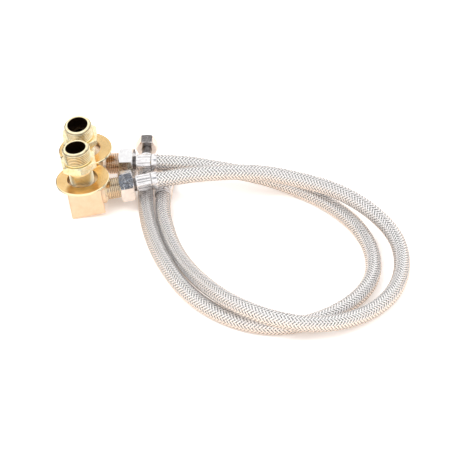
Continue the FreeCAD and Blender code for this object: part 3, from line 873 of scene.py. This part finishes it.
def ferruleRadius(setup, along, angle):
    # Outer radius of the sleeve: pressed flats with raised lines between them, then a round bead.
    full = setup["radius"]
    step = fullTurn / setup["flats"]
    fromFlat = (angle + step / 2) % step - step / 2
    flat = min(full, setup["flatRadius"] / math.cos(fromFlat))
    nearEdge = abs(fromFlat) / (step / 2)
    flat += setup["ridge"] * max(0.0, (nearEdge - setup["ridgeFrom"]) / (1 - setup["ridgeFrom"]))
    fromDip = (nearEdge - setup["dipAt"]) / setup["dipWidth"]
    flat -= setup["ridge"] * setup["dip"] * math.exp(-fromDip ** 2)
    start, end = setup["lip"] * setup["crimpFrom"], setup["lip"] + setup["crimpLength"]
    ramp = setup["ramp"]
    pressed = smooth((along - start) / ramp) * smooth((end - along) / ramp)
    beadStart = end - ramp
    share = clamped((along - beadStart) / (setup["length"] - beadStart))
    bead = setup["bead"] * math.sin(math.pi * min(1.0, share * setup["beadReach"]))
    plain = full + bead
    edge = setup["edge"]
    for distance in (along, setup["length"] - along):
        if distance < edge:
            plain -= edge - math.sqrt(max(0.0, edge ** 2 - (edge - distance) ** 2))
    return plain * (1 - pressed) + flat * pressed


def evenly(first, last, count):
    return [first + (last - first) * i / count for i in range(1, count + 1)]


def makeFerrule(name, end, place, setup):
    count = setup["around"]
    length, edge = setup["length"], setup["edge"]
    rising, falling = setup["rampStations"]
    stations = [edge * share for share in setup["edgeShares"]]
    stations += [*rising, *evenly(rising[-1], falling[0], setup["flatSteps"]), *falling[1:]]
    stations += evenly(falling[-1], length - edge, setup["beadSteps"])
    stations += [length - edge * share for share in reversed(setup["edgeShares"][:-1])]
    angles = [fullTurn * i / count for i in range(count)]
    rings = [[(along, ferruleRadius(setup, along, angle)) for angle in angles]
             for along in stations]
    neck = setup["neckRadius"][end]
    for along, radius in ((length, setup["bore"]), (setup["lip"], setup["bore"]),
                          (setup["lip"], neck), (0.0, neck)):
        rings.append([(along, radius)] * count)
    start = setup["start"][end]
    points = [
        place @ Vector((start + along, radius * math.cos(angle), radius * math.sin(angle)))
        for ring in rings for (along, radius), angle in zip(ring, angles)]
    faces = []
    for ring in range(len(rings)):
        this, after = ring * count, (ring + 1) % len(rings) * count
        for i in range(count):
            j = (i + 1) % count
            faces.append((this + i, this + j, after + j, after + i))
    mesh = bpy.data.meshes.new(name)
    mesh.from_pydata(points, [], faces)
    mesh.shade_smooth()
    mesh.set_sharp_from_angle(angle=math.radians(setup["sharpFrom"]))
    ferrule = bpy.data.objects.new(name, mesh)
    scene.collection.objects.link(ferrule)
    mesh.materials.append(ferruleSteel(f"{name}Steel", alongX(place), start * millimetres))
    return ferrule


ferrules = {}
for line in routes:
    for end, place in (("near", elbowPlaces[line]), ("far", farPlaces[line])):
        ferrule = makeFerrule(f"{line}{end.capitalize()}Ferrule", end, place, ferruleSetup)
        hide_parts(f"{line}_{end}_ferrule")
        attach(ferrule, "lines")
        ferrules.setdefault(line, []).append(ferrule)
print("ferrules made")


for line, core in cores.items():
    core.data.materials.append(finishes["core"])
    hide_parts(f"{line}_liner", f"{line}_braid")
    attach(core, "lines")
    for sleeve in sleeves[line]:
        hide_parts(f"{line}_braid")
        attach(sleeve, "lines")


studioSetup = {
    "floorSize": 6.0,
    "floorShade": (0.80, 0.80, 0.80),  # as it lights the piece
    "floorGlow": (0.20, 0.155, 0.13),  # as the camera sees it; the glow warms the shadow
    "floorCatch": (1.12, 1.14, 1.15),
    "mirroredGlow": (0.40, 0.345, 0.30),  # as polished metal shows it
    "mirroredCatch": (0.74, 0.62, 0.53),
    "farFloor": 0.08,  # how much of the mirrored tones is left behind the fittings, where a painted shadow darkens the floor that polished metal shows
    "farFloorBehind": (-0.06, 0.0),  # metres from front to back, where it sets in
    "farFloorLeft": (-0.055, -0.03),  # metres from left to right, where it ends
    "surround": 0.62,
    "room": [  # degrees from straight up, back to front, and the tone that polished metal shows
        (-180, (0.95, 0.93, 0.92)), (-61, (1.0, 1.0, 1.0)), (-57, (0.06, 0.05, 0.048)),
        (-48, (0.06, 0.05, 0.048)), (-44, (1.0, 1.0, 1.0)), (3, (1.0, 1.0, 1.0)),
        (9, (0.50, 0.56, 0.68)), (13, (0.12, 0.155, 0.225)), (17, (0.012, 0.016, 0.03)),
        (27, (0.004, 0.004, 0.008)), (33, (1.0, 1.0, 1.0)),
        (60, (1.0, 1.0, 1.0)), (72, (0.62, 0.60, 0.60)), (95, (0.95, 0.93, 0.92)),
    ],
    "roomSides": (1.0, 0.99, 0.99),
    "sidesFrom": (0.06, 0.12),  # sideways part of the direction
    "widerInFront": 0.15,
    "roomCorners": (0.15, 0.13, 0.12),  # high up behind, left and right
    "cornerHeights": (0.54, 0.69, 0.04),
    "cornerSides": (0.44, 0.90, 0.08),
    "roomStrength": 1.18,
    "clutter": (0.50, 0.64, 0.0, 0.62),  # breaks up the dark gaps
    "clutterNoise": {"Scale": 24.0, "Detail": 3.0, "Roughness": 0.6},
    "aim": (0.1, -0.06, 0.0),
    "softBoxes": [
        {"name": "keyLight", "at": (-0.7, -0.5, 1.5), "size": 1.1, "power": 18.0},
        {"name": "fillLight", "at": (1.0, -0.9, 1.1), "size": 1.2, "power": 8.0},
        {"name": "backLight", "at": (0.3, 1.3, 1.2), "size": 1.2, "power": 8.0},
    ],
}
white, black = (1.0, 1.0, 1.0), (0.0, 0.0, 0.0)


def seenRays(tree):
    path = addNode(tree, "ShaderNodeLightPath").outputs
    return calc(tree, "ADD", plus(tree, path["Is Camera Ray"], path["Is Glossy Ray"]),
                path["Is Transmission Ray"], clamp=True)


def glossyRays(tree):
    return addNode(tree, "ShaderNodeLightPath").outputs["Is Glossy Ray"]


def makeFloor(setup):
    half = setup["floorSize"] / 2
    corners = [(-half, -half, 0), (half, -half, 0), (half, half, 0), (-half, half, 0)]
    mesh = bpy.data.meshes.new("floor")
    mesh.from_pydata(corners, [], [(0, 1, 2, 3)])
    floor = bpy.data.objects.new("floor", mesh)
    scene.collection.objects.link(floor)
    material = bpy.data.materials.new("paleFloor")
    material.use_nodes = True
    tree = material.node_tree
    tree.nodes.clear()
    place = addNode(tree, "ShaderNodeSeparateXYZ", {0: objectPoint(tree)}).outputs
    # A painted shadow darkens the floor behind and left of the fittings, as polished metal shows
    # it.
    behind = ramped(tree, place["Y"], *setup["farFloorBehind"], curve="SMOOTHSTEP")
    left = ramped(tree, place["X"], *setup["farFloorLeft"], 1.0, 0.0, curve="SMOOTHSTEP")
    lost = times(tree, times(tree, behind, left), 1.0 - setup["farFloor"])
    kept = calc(tree, "SUBTRACT", 1.0, lost)
    glossy = glossyRays(tree)
    mirroredCatch = mixColour(tree, kept, black, setup["mirroredCatch"])
    mirroredGlow = mixColour(tree, kept, black, setup["mirroredGlow"])
    plain = addNode(tree, "ShaderNodeBsdfDiffuse", {"Color": opaque(setup["floorShade"])})
    catch = addNode(tree, "ShaderNodeBsdfDiffuse", {
        "Color": mixColour(tree, glossy, setup["floorCatch"], mirroredCatch)})
    glow = addNode(tree, "ShaderNodeEmission", {
        "Color": mixColour(tree, glossy, setup["floorGlow"], mirroredGlow), "Strength": 1.0})
    seen = addNode(tree, "ShaderNodeAddShader", {0: catch.outputs[0], 1: glow.outputs[0]})
    mixed = addNode(tree, "ShaderNodeMixShader", {
        0: seenRays(tree), 1: plain.outputs[0], 2: seen.outputs[0]})
    addNode(tree, "ShaderNodeOutputMaterial", {"Surface": mixed.outputs[0]})
    mesh.materials.append(material)


def toneRamp(tree, place, tones):
    # Tones by angle, from -180 to 180 degrees.
    ramp = addNode(tree, "ShaderNodeValToRGB", {"Fac": place})
    stops = ramp.color_ramp.elements
    stops.remove(stops[1])
    stops[0].color = opaque(tones[0][1])
    for degrees, shade in tones[1:]:
        stops.new((degrees + 180) / 360).color = opaque(shade)
    return ramp.outputs["Color"]


def makeWorld(setup):
    world = bpy.data.worlds.new("studio")
    scene.world = world
    world.use_nodes = True
    world.cycles.sampling_method = "NONE"
    tree = world.node_tree
    tree.nodes.clear()

    # Polished metal shows a white room with a dark gap behind and one in front.
    direction = addNode(tree, "ShaderNodeTexCoord").outputs["Generated"]
    parts = addNode(tree, "ShaderNodeSeparateXYZ", {0: direction}).outputs
    lean = calc(tree, "ARCTAN2", times(tree, parts["Y"], -1.0), parts["Z"])
    overhead = toneRamp(tree, ramped(tree, lean, -math.pi, math.pi), setup["room"])
    sideways = calc(tree, "ABSOLUTE", parts["X"])
    inFront = calc(tree, "LESS_THAN", parts["Y"], 0.0)
    fromGap = calc(tree, "SUBTRACT", sideways, times(tree, inFront, setup["widerInFront"]))
    aside = ramped(tree, fromGap, *setup["sidesFrom"], curve="SMOOTHSTEP")
    corner = times(tree, band(tree, parts["Z"], setup["cornerHeights"]),
                   band(tree, sideways, setup["cornerSides"]))
    corner = times(tree, corner, calc(tree, "SUBTRACT", 1.0, inFront))
    sides = mixColour(tree, corner, setup["roomSides"], setup["roomCorners"])
    room = mixColour(tree, aside, overhead, sides)
    clutter = ramped(tree, noise(tree, direction, setup["clutterNoise"]), *setup["clutter"])
    room = mixColour(tree, 1.0, room, clutter, "ADD")
    room = mixColour(tree, 1.0, room, white, "DARKEN")
    glossy = glossyRays(tree)
    seen = addNode(tree, "ShaderNodeBackground", {
        "Color": mixColour(tree, glossy, white, room),
        "Strength": mixValue(tree, glossy, 1.0, setup["roomStrength"])})
    light = addNode(tree, "ShaderNodeBackground", {
        "Color": opaque(white), "Strength": setup["surround"]})
    mixed = addNode(tree, "ShaderNodeMixShader", {
        0: seenRays(tree), 1: light.outputs[0], 2: seen.outputs[0]})
    addNode(tree, "ShaderNodeOutputWorld", {"Surface": mixed.outputs[0]})


def makeLights(setup):
    for box in setup["softBoxes"]:
        data = bpy.data.lights.new(box["name"], "AREA")
        data.shape = "SQUARE"
        data.size = box["size"]
        data.energy = box["power"]
        lamp = bpy.data.objects.new(box["name"], data)
        scene.collection.objects.link(lamp)
        lamp.location = box["at"]
        away = Vector(box["at"]) - Vector(setup["aim"])
        lamp.rotation_euler = away.to_track_quat("Z", "Y").to_euler()
        lamp.visible_glossy = False  # polished faces show the room instead


makeFloor(studioSetup)
makeWorld(studioSetup)
makeLights(studioSetup)
print("studio made")
